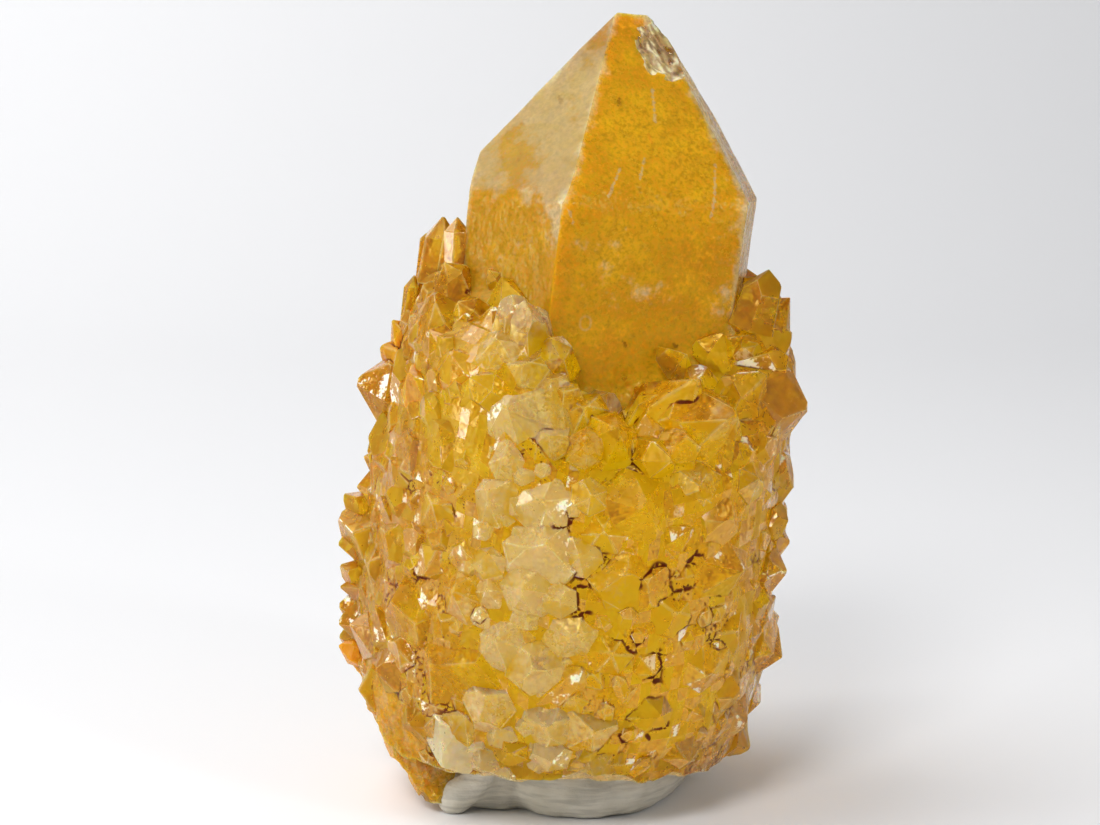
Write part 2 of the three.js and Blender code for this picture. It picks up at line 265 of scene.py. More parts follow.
# The chip is scooped out by a ball whose surface carries the ripples of a shell-shaped break, and the
# splinters that run down from the tip.
chip_middle = Vector((4.7, -2.25, 67.45))
chip_ball = bmesh.new()
bmesh.ops.create_icosphere(chip_ball, subdivisions=7, radius=7.2)
bmesh.ops.translate(chip_ball, verts=chip_ball.verts[:], vec=chip_middle)
blow = Vector((-0.4, 2.4, 67.6))
for vert in chip_ball.verts:
    away = vert.co - blow
    ripple = 0.06 * math.sin(away.length * 4.4 + 3.0 * noise(vert.co * 0.6))
    splinters = 0.30 * noise(away.normalized() * 7.0) + 0.16 * noise(away.normalized() * 17.0)
    splinters += 0.05 * noise(vert.co * 3.0)
    vert.co += (vert.co - chip_middle).normalized() * (ripple + splinters)
milk_mark, rust_mark, clear_mark, facet_mark, bare_mark, depth_map = add_marks(chip_ball)
for face in chip_ball.faces:
    face.smooth = True
    face[facet_mark] = 1.0
    face[bare_mark] = 1.0
    for loop in face.loops:
        # White streaks across the break: partly its own frosting, partly painted highlight along the ripples.
        frost_and_highlight_streak = noise((loop.vert.co - blow).normalized() * 15.0)
        loop[milk_mark] = 1.1 + 1.2 * frost_and_highlight_streak
        loop[clear_mark] = 0.50 - 0.9 * frost_and_highlight_streak


scene = bpy.context.scene


def make_solid(name, mesh, group=None):
    """Turns a finished mesh into an object of its own."""
    mesh.normal_update()
    data = bpy.data.meshes.new(name)
    mesh.to_mesh(data)
    mesh.free()
    solid = bpy.data.objects.new(name, data)
    (group or scene.collection).objects.link(solid)
    return solid


large_point.transform(stand_up)
chip_ball.transform(stand_up)
large_solid = make_solid("large_point", large_point)
chip_solid = make_solid("chip_ball", chip_ball)

# ---- The crust of small points ------------
# Small quartz points that grew outwards from the large one and fused with it. The ones that stand out are
# listed one by one; the rest fill the room between them, down to points less than two millimetres wide.

# Azimuth, height and distance of the tip from the axis, width, degrees that it points up, degrees that it
# turns to the right, how milky it is, and how much rusty stain it has.
standing_out = [
    (-88, 47.8, 14.0, 3.4, 88, 0, .25, .15), (-80, 48.1, 13.0, 2.2, 86, 0, .20, .25),
    (-88, 42.7, 15.8, 2.0, 82, 0, .35, .10), (-88, 40.4, 16.3, 2.6, 50, 0, .10, .45),
    (-88, 38.8, 17.2, 2.8, 44, 0, .10, .55), (-88, 36.4, 18.0, 3.6, 24, 0, .10, .60),
    (-87, 33.2, 19.6, 5.6, 4, 0, .10, .25), (-82, 31.4, 16.8, 5.6, 66, 0, .10, .30),
    (-87, 24.5, 18.7, 3.8, 6, 0, .20, .35), (-86, 21.8, 19.9, 6.4, 20, 0, .30, .10),
    (-88, 15.6, 19.2, 4.0, -4, 0, .25, .30), (-85, 12.6, 19.0, 4.6, -8, 0, .45, .20),
    (-86, 9.7, 18.2, 3.0, -12, 0, .10, .90),
    (-65, 42.2, 15.2, 5.4, 58, -6, .15, .05), (-62, 35.8, 17.0, 4.4, 30, 4, .10, .60),
    (-63, 28.6, 17.8, 4.6, 24, 0, .15, .30), (-60, 22.6, 18.0, 4.6, 20, 6, .20, .15),
    (-52, 17.6, 18.4, 6.0, 14, -8, .20, .10), (-58, 11.2, 17.8, 4.4, 0, 0, .20, .20),
    (-46, 38.4, 16.4, 3.8, 40, 0, .25, .50), (-44, 32.6, 17.4, 4.8, 26, 4, .40, .25),
    (-43, 26.4, 17.6, 4.2, 22, 0, .40, .20),
    (-34, 43.4, 13.6, 2.6, 66, 6, .80, .05), (-28, 43.2, 14.0, 3.4, 60, -4, .75, .05),
    (-34, 40.0, 15.2, 4.0, 30, 0, .70, .10), (-18, 40.6, 13.4, 2.8, 42, 0, .55, .15),
    (-24, 38.4, 15.0, 3.2, 28, 0, .65, .10), (-16, 37.4, 13.8, 2.8, 30, 0, .55, .20),
    (-11, 36.6, 13.8, 2.8, 22, 4, .50, .20), (-25, 35.2, 17.2, 7.4, 18, -4, .95, .00),
    (-4, 35.6, 13.6, 3.8, 28, 0, .45, .15), (-13, 33.4, 16.0, 3.4, 20, 0, .70, .10),
    (-2, 33.0, 16.2, 3.2, 16, 0, .55, .10), (-22, 31.6, 17.0, 3.8, 20, 4, .80, .05),
    (-26, 28.6, 17.8, 5.8, 16, -6, .85, .05), (-11, 28.6, 17.8, 4.8, 12, 0, .95, .00),
    (1, 29.4, 17.4, 3.2, 12, 4, .60, .05), (5, 26.6, 17.6, 4.4, 8, 0, .30, .15),
    (-9, 25.2, 18.4, 6.8, 12, 4, .95, .00), (0, 24.6, 17.9, 3.6, 8, 0, .70, .05),
    (-24, 23.6, 17.4, 3.2, 30, 0, .70, .10), (-13, 21.4, 18.2, 4.2, 6, 0, .90, .00),
    (-4, 20.8, 17.8, 3.0, 4, 0, .80, .05), (-23, 20.6, 17.4, 2.8, 12, 0, .65, .10),
    (-32, 20.0, 18.0, 5.0, 10, -8, .60, .05), (-19, 17.0, 18.0, 4.8, 12, -6, .90, .00),
    (-8, 15.2, 18.4, 5.0, 4, 0, .85, .00), (1, 18.2, 17.9, 4.6, 8, 4, .85, .05),
    (11, 17.0, 17.6, 3.8, 6, 0, .20, .20), (-20, 12.2, 17.6, 4.2, 26, 0, .75, .05),
    (-3, 10.4, 17.2, 4.4, -2, 0, .85, .00), (-1, 7.4, 16.2, 3.2, -12, 0, .75, .05),
    (9, 10.4, 17.0, 5.2, 4, 6, .65, .10), (13, 5.6, 15.4, 4.2, -34, 0, .60, .05),
    (19, 7.4, 15.2, 2.8, -20, 0, .20, .10), (-31, 6.4, 15.8, 5.6, -14, -6, 1.3, .00),
    (-13, 7.6, 16.2, 3.2, -4, 0, .25, .50), (-74, 13.6, 18.6, 5.0, 12, 0, .20, .15),
    (-70, 8.4, 17.6, 5.2, 0, 6, .15, .45), (-46, 7.6, 16.6, 4.6, -4, 0, .20, .25),
    (7, 34.4, 15.6, 4.6, 26, 6, .40, .10), (33, 38.4, 14.2, 6.0, 56, 4, .15, .25),
    (26, 34.4, 16.4, 3.6, 34, -12, .25, .10), (22, 32.4, 16.6, 3.4, 6, 10, .20, .15),
    (31, 30.4, 17.0, 4.0, 2, -14, .55, .05), (15, 28.8, 18.0, 6.0, 10, 4, .12, .20),
    (39, 36.4, 17.4, 7.0, 24, 8, .50, .05), (41, 28.0, 17.8, 4.2, 10, 8, .15, .15),
    (50, 31.0, 17.8, 3.4, 14, 0, .50, .05), (57, 39.0, 16.0, 4.0, 44, 0, .20, .15),
    (27, 20.4, 17.6, 4.2, 10, 0, .15, .20), (46, 23.8, 18.4, 6.8, 4, 8, .15, .10),
    (18, 23.0, 17.4, 4.6, 18, -8, .20, .20), (27, 11.8, 17.4, 4.6, 0, 4, .15, .20),
    (39, 15.0, 18.0, 6.2, -6, -10, .12, .15), (56, 12.8, 17.4, 4.2, -4, 8, .15, .15),
    (50, 18.4, 17.4, 5.4, 6, 0, .10, .20), (42, 7.4, 16.4, 4.6, -18, 0, .15, .30),
    (72, 47.0, 13.6, 3.4, 78, 0, .35, .10), (78, 44.8, 15.4, 4.0, 50, 0, .15, .20),
    (76, 41.8, 16.0, 4.2, 18, 0, .12, .25), (70, 36.4, 18.4, 6.6, 4, 4, .20, .15),
    (73, 29.4, 18.0, 4.6, -18, 0, .15, .15), (69, 27.0, 18.2, 3.2, 10, 0, .15, .15),
    (70, 22.6, 18.6, 4.0, 4, 0, .15, .15), (75, 24.8, 18.2, 3.2, 6, 0, .15, .10),
    (66, 20.2, 17.6, 3.2, 10, 0, .20, .10), (76, 14.8, 18.8, 5.6, -16, 0, .15, .15),
    (84, 10.0, 17.4, 3.4, -8, 0, .15, .20), (82, 6.0, 17.0, 5.0, -16, 0, .12, .25),
]
# The crust's upper edge by azimuth, and how far its tips stand from the axis by height.
crust_rim = [
    (-180, 46), (-120, 47), (-88, 46), (-60, 44.5), (-30, 43.5), (-17, 41), (-8, 38),
    (8, 37.2), (33, 39.5), (62, 42), (75, 46), (120, 47), (180, 46),
]
crust_girth = [(0, 13), (4, 15.4), (10, 17.4), (16, 17.9), (30, 17.9), (38, 17), (44, 15.4), (50, 13.5)]
bed_depth = 1.9


class Numbers:
    """Repeatable numbers from 0 to 1."""

    def __init__(self, seed):
        self.state = seed

    def draw(self):
        self.state = (self.state * 1664525 + 1013904223) & 0xFFFFFFFF
        return self.state / 4294967296


def along(rows, place):
    """Straight-line interpolation in rows of (place, value)."""
    if place <= rows[0][0]:
        return rows[0][1]
    for (p0, v0), (p1, v1) in zip(rows, rows[1:]):
        if place <= p1:
            return v0 + (v1 - v0) * (place - p0) / (p1 - p0)
    return rows[-1][1]


def large_side_reach(azimuth):
    """Distance from the axis to the large point's side at an azimuth."""
    turns = [(row[1], math.cos(math.radians(azimuth - row[0]))) for row in large_sides]
    return min(distance / turn for distance, turn in turns if turn > 0.05)


def crust_reach(azimuth, height):
    """How far from the axis the crust's tips stand. The crust thickens below its rim."""
    below_rim = max(0, along(crust_rim, azimuth) - height)
    return min(along(crust_girth, height), large_side_reach(azimuth) + 1.6 + 0.85 * below_rim)


def crust_pitch(azimuth, height):
    """The points fan out: upright near the rim, level lower down, drooping at the base."""
    below_rim = max(0, along(crust_rim, azimuth) - height)
    return -14 + 22 * min(1, height / 16) + 44 * math.exp(-below_rim / 5)


def near(value, middle, spread):
    """1 at the middle, and softly down to 0 away from it."""
    return math.exp(-(((value - middle) / spread) ** 2))


def left_swell(azimuth, height):
    """The fine points at the left stand further out."""
    return 1.3 * near(azimuth, -92, 20) * smooth_step(5, 9, height) * smooth_step(31, 25, height)


def fill_crust(
    points, width, packing, stand_back, tries, numbers, spread, scatter, swell=0.0, band=99, roomy=0.0
):
    """Adds points of one size in a band below the rim, wherever the others leave room. Spread is how
    unevenly they stand out, scatter how unruly they are low down, swell how much they follow the swelling
    at the left, and roomy how much wider apart they stand at the right."""
    for _ in range(tries):
        azimuth = -180 + 360 * numbers.draw()
        share = numbers.draw()
        own_width = width * (0.85 + 0.3 * numbers.draw())
        wobble = numbers.draw() - 0.5
        pitch_wobble = numbers.draw() - 0.5
        turn_wobble = numbers.draw() - 0.5
        rim = along(crust_rim, azimuth)
        lowest = max(4, rim - band)
        height = lowest + (rim - lowest) * share
        astray = 30 * (1 + (scatter - 1) * smooth_step(1, 7, rim - height))
        reach = crust_reach(azimuth, height) - stand_back + spread * wobble
        reach += swell * left_swell(azimuth, height)
        room = packing * (1 + roomy * smooth_step(8, 30, azimuth) * smooth_step(100, 80, azimuth))
        for a, h, r, w, *_ in points:
            if abs(h - height) > room * 0.5 * (w + own_width):
                continue
            apart = abs((a - azimuth + 540) % 360 - 180)
            sideways = math.radians(apart) * 0.5 * (r + reach)
            if math.hypot(sideways, h - height) <= room * 0.5 * (w + own_width):
                break
        else:
            pitch = crust_pitch(azimuth, height) + astray * pitch_wobble
            turn = astray * turn_wobble
            front_band = near(azimuth, -14, 24) * smooth_step(44, 38, height)
            rusty = near(azimuth, -80, 22) * (near(height, 34, 6) + near(height, 7, 4))
            milk = 0.12 + 0.75 * front_band + 0.14 * noise(Vector((azimuth * 0.09, height * 0.22, 3)))
            rust = 0.12 + 0.5 * rusty + 0.22 * noise(Vector((azimuth * 0.07, height * 0.2, 9)))
            points.append((azimuth, height, reach, own_width, pitch, turn, max(0, milk), max(0, rust)))
    return points


def quartz_point(width, length, numbers, edge_width):
    """One small crystal with its tip at the origin: a six-sided prism under three large and three small
    terminal faces."""
    radius = width / 2
    crystal = bmesh.new()
    bmesh.ops.create_cone(
        crystal, cap_ends=True, segments=6, radius1=1.2 * radius, radius2=0.94 * radius, depth=length,
        matrix=Matrix.Translation((0, 0, -length / 2)),
    )
    end_slope = math.radians(38.2)
    unequal = numbers.draw()
    for side in range(6):
        outset = radius * (0.08 if side % 2 else 0.08 + 0.55 * unequal) * numbers.draw()
        turn = math.radians(60 * side)
        level = math.cos(end_slope)
        facing = Vector((math.cos(turn) * level, math.sin(turn) * level, math.sin(end_slope)))
        cleave(crystal, facing * outset, facing)
    bmesh.ops.scale(crystal, vec=Vector((0.9 + 0.25 * numbers.draw(), 1, 1)), verts=crystal.verts[:])
    turn_outwards(crystal)
    round_off(crystal, crystal.edges[:], edge_width, 1, within_faces=True)
    return crystal


def mark_faces(crystal, milk, rust, clear, tone, bare=0.0):
    """Writes down on a crystal what its finish depends on. Each face gets a tone of its own, and the narrow
    ones along the edges are paler and clearer, as a painted highlight where the edges catch the light."""
    milk_mark, rust_mark, clear_mark, facet_mark, bare_mark, depth_map = add_marks(crystal)
    for face in crystal.faces:
        facing = face.normal
        face[bare_mark] = bare
        own_tone = math.sin(37 * facing.x + 23 * facing.y + 41 * facing.z + 60 * tone)
        face[facet_mark] = 0.5 + 0.5 * (1 - bare) * own_tone
        # Painted highlight: the narrow faces along the edges get more milk and clearness.
        painted_edge_highlight = 0.35 if face.calc_area() < 0.02 * face.calc_perimeter() ** 2 else 0.0
        for loop in face.loops:
            place = loop.vert.co
            loop[milk_mark], loop[rust_mark], loop[clear_mark] = milk + painted_edge_highlight, rust, clear + painted_edge_highlight
            loop[depth_map].uv = (0.1 * math.atan2(place.y, place.x) + tone, -place.z * 0.1)


def plant(point, numbers, group, edge_width):
    """Grows a small point with its tip in place and its root inside the large point."""
    azimuth, height, reach, width, pitch, turn, milk, rust = point
    length = min(reach - 8.5, width * 1.6 + 3)
    facing = outward(azimuth + turn) * math.cos(math.radians(pitch))
    facing.z = math.sin(math.radians(pitch))
    twist = Quaternion((0, 0, 1), 2 * math.pi * numbers.draw())
    aim = Vector((0, 0, 1)).rotation_difference(facing) @ twist
    tip = outward(azimuth) * reach
    tip.z = height
    crystal = quartz_point(width, length, numbers, edge_width)
    tone = (azimuth * 0.37 + height * 0.61) % 1.0
    mark_faces(crystal, milk, rust, 0.35 + 0.5 * tone, tone)
    crystal.transform(stand_up @ Matrix.Translation(tip) @ aim.to_matrix().to_4x4())
    make_solid("small_point", crystal, group)
    return tip, aim


crust_group = bpy.data.collections.new("crust")
scene.collection.children.link(crust_group)
numbers = Numbers(7)
points = fill_crust(list(standing_out), 7.2, 0.88, 0.2, 900, numbers, 1.4, 1.7)
points = fill_crust(points, 5.4, 0.84, 0.9, 1500, numbers, 1.4, 1.9)
planted = [(point, *plant(point, numbers, crust_group, edge_width=0.07)) for point in points]

fine_numbers = Numbers(4211)
fine_points = list(points)
# Middling points that fill out the left edge and the foot.
left_edge = [
    (-88, 27.0, 18.4, 2.6, 10, 0, .15, .25), (-88, 23.6, 19.7, 3.2, 30, 0, .25, .15),
    (-88, 19.3, 19.8, 3.2, -4, 0, .20, .15), (-88, 17.4, 19.4, 2.6, 20, 0, .35, .10),
    (-88, 14.1, 19.3, 2.6, 10, 0, .45, .05), (-87, 11.3, 18.9, 3.0, 0, 0, .20, .40),
    (-88, 8.2, 17.9, 3.0, -8, 0, .10, .70), (-84, 10.8, 18.9, 2.4, 10, 0, .05, .95),
    (-82, 7.0, 17.6, 2.6, -10, 0, .05, .95), (-33, 5.2, 16.5, 5.4, -30, 0, 1.5, .00),
    (-22, 5.6, 15.6, 3.2, -20, 0, .90, .10),
]
for point in left_edge:
    plant(point, fine_numbers, crust_group, edge_width=0.05)
fine_points += left_edge
for width, packing, stand_back, tries in (
    (4.8, 0.72, 0.6, 1200), (3.6, 0.72, 0.8, 1400), (2.6, 0.70, 1.1, 1600), (1.7, 0.64, 1.4, 1800),
):
    fine_points = fill_crust(
        fine_points, width, packing, stand_back, tries, fine_numbers, 0.8, 2.6, swell=1.0, roomy=0.3
    )
fine_points = fill_crust(fine_points, 2.6, 0.52, 0.5, 900, fine_numbers, 0.8, 1.6, band=8)
for point in fine_points[len(points) + len(left_edge):]:
    plant(point, fine_numbers, crust_group, edge_width=0.035)

# Parallel growth: smaller points that share a larger one's direction and stand against its sides.
for (azimuth, height, reach, width, pitch, turn, milk, rust), tip, aim in planted:
    if width < 3.4:
        continue
    for _ in range(int(1 + width * 0.55 * fine_numbers.draw())):
        small = width * (0.24 + 0.26 * fine_numbers.draw())
        around = 2 * math.pi * fine_numbers.draw()
        aside = width * (0.26 + 0.16 * fine_numbers.draw())
        back = 0.12 * width + aside * 1.15 - 0.5 * small * fine_numbers.draw()
        crystal = quartz_point(small, small * 1.6 + 2.5, fine_numbers, edge_width=0.035)
        tone = fine_numbers.draw()
        mark_faces(crystal, milk, rust, 0.35 + 0.5 * tone, tone)
        tilt = Quaternion((math.cos(around), math.sin(around), 0), math.radians(-9 * tone))
        seat = Vector((math.cos(around) * aside, math.sin(around) * aside, -back))
        crystal.transform(
            stand_up @ Matrix.Translation(tip) @ aim.to_matrix().to_4x4()
            @ Matrix.Translation(seat) @ tilt.to_matrix().to_4x4()
        )
        make_solid("leaning_point", crystal, crust_group)


def spin_round(mesh, outline, steps):
    """Spins an outline of points, from axis to axis, into a closed round body."""
    chain = [mesh.verts.new(place) for place in outline]
    edges = [mesh.edges.new(pair) for pair in zip(chain, chain[1:])]
    bmesh.ops.spin(
        mesh, geom=chain + edges, cent=(0, 0, 0), axis=(0, 0, 1), angle=2 * math.pi, steps=steps,
        use_merge=True,
    )
    bmesh.ops.remove_doubles(mesh, verts=mesh.verts[:], dist=1e-4)


# The bed that the points grow from: a rough spun body that follows the rim, closed above inside the large
# point. Until it is shaped, height 0 is its foot and 1 its top ring.
bed = bmesh.new()
bed_rings = 40
bed_foot = -4
rings = [(1, 0, number / (bed_rings - 1)) for number in range(bed_rings)]
spin_round(bed, [(0, 0, 0), *rings, (0, 0, 1)], steps=120)
for vert in bed.verts:
    share = vert.co.z
    if math.hypot(vert.co.x, vert.co.y) < 0.5:
        vert.co.z = 30 if share > 0.5 else bed_foot
        continue
    azimuth = math.degrees(math.atan2(vert.co.x, -vert.co.y))
    height = bed_foot + share * (along(crust_rim, azimuth) - 2.5 - bed_foot)
    radius, lumps = 4, 0
    if share <= 0.999:
        radius = max(6, crust_reach(azimuth, height) + left_swell(azimuth, height) - bed_depth)
        place = outward(azimuth) * radius
        lumps = 0.5 * noise(Vector((place.x, place.y, height)) * 0.7)
        lumps += 0.25 * noise(Vector((place.x, place.y, height)) * 2.1)
    place = outward(azimuth) * (radius + lumps)
    vert.co = Vector((place.x, place.y, height))
turn_outwards(bed)
mark_faces(bed, milk=0.15, rust=0.28, clear=0.1, tone=0.3)
bed.transform(stand_up)
make_solid("bed", bed, crust_group)

# ---- The broken lower end ------------
# The quartz broke off its matrix along a rough surface. A tongue of it hangs lower at the left, where the
# break runs down steeply and shows the crust's edge.

tongue_lump = bmesh.new()
tongue_middle = Vector((-11.4, -1.5, 8))
bmesh.ops.create_icosphere(tongue_lump, subdivisions=5, radius=1)
for vert in tongue_lump.verts:
    vert.co = Vector((vert.co.x * 6.6, vert.co.y * 9, vert.co.z * 8)) + tongue_middle
    vert.co += vert.normal * (0.45 * noise(vert.co * 0.6) + 0.3 * noise(vert.co * 1.7) - 0.2)
mark_faces(tongue_lump, milk=0.30, rust=0.50, clear=0.40, tone=0.6, bare=1.0)
make_solid("tongue_lump", tongue_lump, crust_group)


def under_break(x, y):
    """Height of the broken underside."""
    smooth_break = 4.3 - 0.05 * x - 0.07 * y + 0.45 * math.sin(0.61 * x + 0.9) * math.cos(0.47 * y + 0.4)
    smooth_break -= 1.5 * math.exp(-(((x + 10.8) / 2.6) ** 2) - (((y + 13.4) / 3.0) ** 2))
    coarse, fine = noise(Vector((x, y, 0)) * 0.33), noise(Vector((x, y, 5)) * 1.2)
    return smooth_break + 0.9 * coarse + 0.25 * fine


def rough_block(height_at, segments, size, thickness):
    """A thick block with one rough face, which leaves a broken surface where it is cut away."""
    block = bmesh.new()
    bmesh.ops.create_grid(block, x_segments=segments, y_segments=segments, size=size)
    for vert in block.verts:
        vert.co.z = height_at(vert.co.x, vert.co.y)
    moved = bmesh.ops.extrude_face_region(block, geom=block.faces[:])
    bmesh.ops.translate(
        block, vec=Vector((0, 0, thickness)),
        verts=[part for part in moved["geom"] if isinstance(part, bmesh.types.BMVert)],
    )
    turn_outwards(block)
    return block


break_block = rough_block(under_break, segments=90, size=30, thickness=-20)
mark_faces(break_block, milk=0.75, rust=0.20, clear=0.3, tone=0.2, bare=1.0)
break_solid = make_solid("break_block", break_block)

# The room that the tongue takes up, which the underside's break leaves standing.
tongue_room = bmesh.new()
bmesh.ops.create_cube(tongue_room, size=40, matrix=Matrix.Translation((-20, 20, 0)))
bmesh.ops.subdivide_edges(tongue_room, edges=tongue_room.edges[:], cuts=60, use_grid_fill=True)
for vert in tongue_room.verts:
    lumps = 0.9 * noise(vert.co * 0.35) + 0.45 * noise(vert.co)
    lumps += 0.15 * noise(vert.co * 2.2)
    vert.co += Vector((-0.5, 1, 0)) * lumps
turn_outwards(tongue_room)
mark_faces(tongue_room, milk=0.42, rust=0.42, clear=0.25, tone=0.4, bare=1.0)
tongue_room.transform(Matrix.Translation((-8.9, -6.4, 0)) @ Matrix.Rotation(math.radians(16), 4, "Z"))
room_solid = make_solid("tongue_room", tongue_room)


def tongue_break(x, y):
    """How the tongue's steep break rises and falls about its plane."""
    place = Vector((x, y, 0))
    place.z = 0.9 * noise(place * 0.36) + 0.5 * noise(place * 1.1)
    return place.z + 0.18 * noise(place * 2.4)


steep_break = rough_block(tongue_break, segments=110, size=22, thickness=20)
mark_faces(steep_break, milk=0.15, rust=0.70, clear=0.20, tone=0.7, bare=1.0)
steepness = math.radians(54)
steep_break.transform(
    Matrix.Translation((-15.4, 0, 6.3)) @ Matrix.Rotation(math.pi + steepness, 4, "Y")
)
steep_solid = make_solid("steep_break", steep_break)


def carve(solid, operation, tool=None, group=None):
    """Joins or cuts solids into one closed mesh, and keeps what is marked on their faces."""
    step = solid.modifiers.new("carve", "BOOLEAN")
    step.operation = operation
    step.solver = "MANIFOLD"
    if group:
        step.operand_type = "COLLECTION"
        step.collection = group
    else:
        step.object = tool


carve(break_solid, "DIFFERENCE", room_solid)
carve(large_solid, "DIFFERENCE", chip_solid)
carve(large_solid, "UNION", group=crust_group)
carve(large_solid, "DIFFERENCE", break_solid)
carve(large_solid, "DIFFERENCE", steep_solid)
grown = large_solid.evaluated_get(bpy.context.evaluated_depsgraph_get())
quartz_mesh = bmesh.new()
quartz_mesh.from_mesh(grown.to_mesh())
lowest_tip = 0.9
cleave(quartz_mesh, Vector((0, 0, lowest_tip)), Vector((0, 0, -1)))
for solid in [*crust_group.objects, large_solid, chip_solid, break_solid, room_solid, steep_solid]:
    bpy.data.objects.remove(solid)
bpy.data.collections.remove(crust_group)
bmesh.ops.triangulate(quartz_mesh, faces=quartz_mesh.faces[:])

# Overgrowth has filled more than half of the depth of the gaps between the points.
gap_filling = 0.6
millimetre = 0.001
sunk_mark = quartz_mesh.verts.layers.float.new("sunk")
lay_down = stand_up.inverted()
for vert in quartz_mesh.verts:
    place = lay_down @ vert.co
    azimuth = math.degrees(math.atan2(place.x, -place.y))
    radius = math.hypot(place.x, place.y)
    sunk = crust_reach(azimuth, place.z) - radius
    vert[sunk_mark] = sunk
    if sunk > 0:
        below_rim = along(crust_rim, azimuth) - place.z
        filled = gap_filling * sunk * smooth_step(7, 3, sunk) * smooth_step(0.5, 5, below_rim)
        vert.co += (stand_up.to_3x3() @ outward(azimuth)) * filled
    for axis in range(3):
        vert.co[axis] = min(cad_high[axis] / millimetre, max(cad_low[axis] / millimetre, vert.co[axis]))

# Fine marks on the large point's faces: what each is, and where it starts and stops. The fleck is orange,
# and the ring is a mark of growth.
scratch, dark_speck, fleck, ring = 1, 2, 3, 4
fine_marks = [
    (scratch, (1.9, -0.4, 60.1), (2.4, -2.5, 57.5)), (scratch, (1.9, -3.6, 56.3), (1.5, -6.2, 53.2)),
    (scratch, (-0.2, -6.3, 53.8), (-0.8, -8.1, 51.9)), (scratch, (7.6, -2.9, 54.8), (7.7, -5.7, 51.0)),
    (scratch, (-6.3, -6.6, 52.6), (-5.7, -7.0, 52.0)), (scratch, (-4.1, -10.1, 50.8), (-3.5, -10.5, 50.1)),
    (dark_speck, (-0.7, -2.2, 59.2), (-0.7, -2.2, 58.8)), (dark_speck, (1.8, -7.6, 40.1), (2.0, -7.6, 39.9)),
    (dark_speck, (5.9, -6.3, 40.3), (6.1, -6.3, 40.1)), (dark_speck, (-5.7, -0.9, 58.8), (-5.3, -1.1, 58.2)),
    (fleck, (1.9, -3.3, 56.7), (2.1, -3.5, 56.1)), (ring, (-1.5, -8.7, 41.6), (-1.5, -8.7, 41.4)),
]
mark_reach = 1.6
kind_mark = quartz_mesh.faces.layers.float.new("mark_kind")
aside_mark = quartz_mesh.loops.layers.float_vector.new("mark_aside")
bare_mark = quartz_mesh.faces.layers.float["bare"]
for face in quartz_mesh.faces:
    if face[bare_mark] < 0.5:
        continue
    middle = lay_down @ face.calc_center_median()
    facing = (lay_down.to_3x3() @ face.normal).normalized()
    for kind, start, stop in fine_marks:
        start, stop = Vector(start), Vector(stop)
        line = stop - start
        share = min(1, max(0, (middle - start).dot(line) / line.length_squared))
        if (middle - start - line * share).length > mark_reach:
            continue
        line.normalize()
        sideways = facing.cross(line).normalized()
        face[kind_mark] = kind
        for corner in face.loops:
            place = lay_down @ corner.vert.co
            before, beyond = (start - place).dot(line), (place - stop).dot(line)
            corner[aside_mark] = ((place - start).dot(sideways), before, beyond)

# Red-brown dirt has gathered in some gaps between the small points. Azimuth and height of each.
dirty_gaps = [
    (17.4, 17.7), (24.6, 16.4), (24.3, 15.2), (24.5, 13.8), (30.7, 10.2), (27.0, 9.5), (17.1, 9.3),
    (22.7, 23.3), (30.1, 36.6), (-5.5, 27.0), (2.0, 20.4), (-46, 20.2), (30.0, 22.4), (31.3, 24.9),
    (6.2, 25.7), (15.3, 23.1), (0.8, 22.4), (-51.8, 9.9), (13.2, 31.8),
]
dirt_mark = quartz_mesh.verts.layers.float.new("from_dirt")
for vert in quartz_mesh.verts:
    place = lay_down @ vert.co
    vert[dirt_mark] = min(
        (place - outward(azimuth) * max(8, place.dot(outward(azimuth))) - Vector((0, 0, height))).length
        for azimuth, height in dirty_gaps
    )

# Each triangle's corners carry their distance to its three edges, where these are creases or ridges, so that
# they can be drawn as fine lines: stain along the creases and a painted highlight along the ridges.
far_off = 9
crease_mark = quartz_mesh.loops.layers.float_vector.new("to_crease")
ridge_mark = quartz_mesh.loops.layers.float_vector.new("to_ridge")
bends = {edge: math.degrees(edge.calc_face_angle_signed(0.0)) for edge in quartz_mesh.edges}
for face in quartz_mesh.faces:
    corners = face.loops[:]
    to_crease = [Vector((far_off, far_off, far_off)) for corner in corners]
    to_ridge = [distances.copy() for distances in to_crease]
    for number, corner in enumerate(corners):
        bend = bends[corner.edge]
        if abs(bend) < 18:
            continue
        reached = to_crease if bend < 0 else to_ridge
        for other in range(3):
            reached[other][number] = 0.0
        reached[(number + 2) % 3][number] = 2 * face.calc_area() / max(1e-6, corner.edge.calc_length())
    for corner, crease, ridge in zip(corners, to_crease, to_ridge):
        corner[crease_mark] = crease
        corner[ridge_mark] = ridge
quartz_mesh.transform(Matrix.Scale(millimetre, 4))
quartz = make_solid("cactus_quartz_grown", quartz_mesh)

# What the quartz looks like: clear quartz under a thin golden, milky or rusty skin.


class Wire:
    """A value in a material: sums written with it become Math nodes."""

    def __init__(self, finish, socket):
        self.finish = finish
        self.socket = socket

    def maths(self, operation, first, second):
        return self.finish.node("ShaderNodeMath", {"operation": operation}, {0: first, 1: second})

    def __add__(self, other):
        return self.maths("ADD", self, other)

    def __sub__(self, other):
        return self.maths("SUBTRACT", self, other)

    def __rsub__(self, other):
        return self.maths("SUBTRACT", other, self)

    def __mul__(self, other):
        return self.maths("MULTIPLY", self, other)

    def __pow__(self, other):
        return self.maths("POWER", self, other)

    __radd__ = __add__
    __rmul__ = __mul__

    def most(self, other):
        return self.maths("MAXIMUM", self, other)

    def least(self, other):
        return self.maths("MINIMUM", self, other)


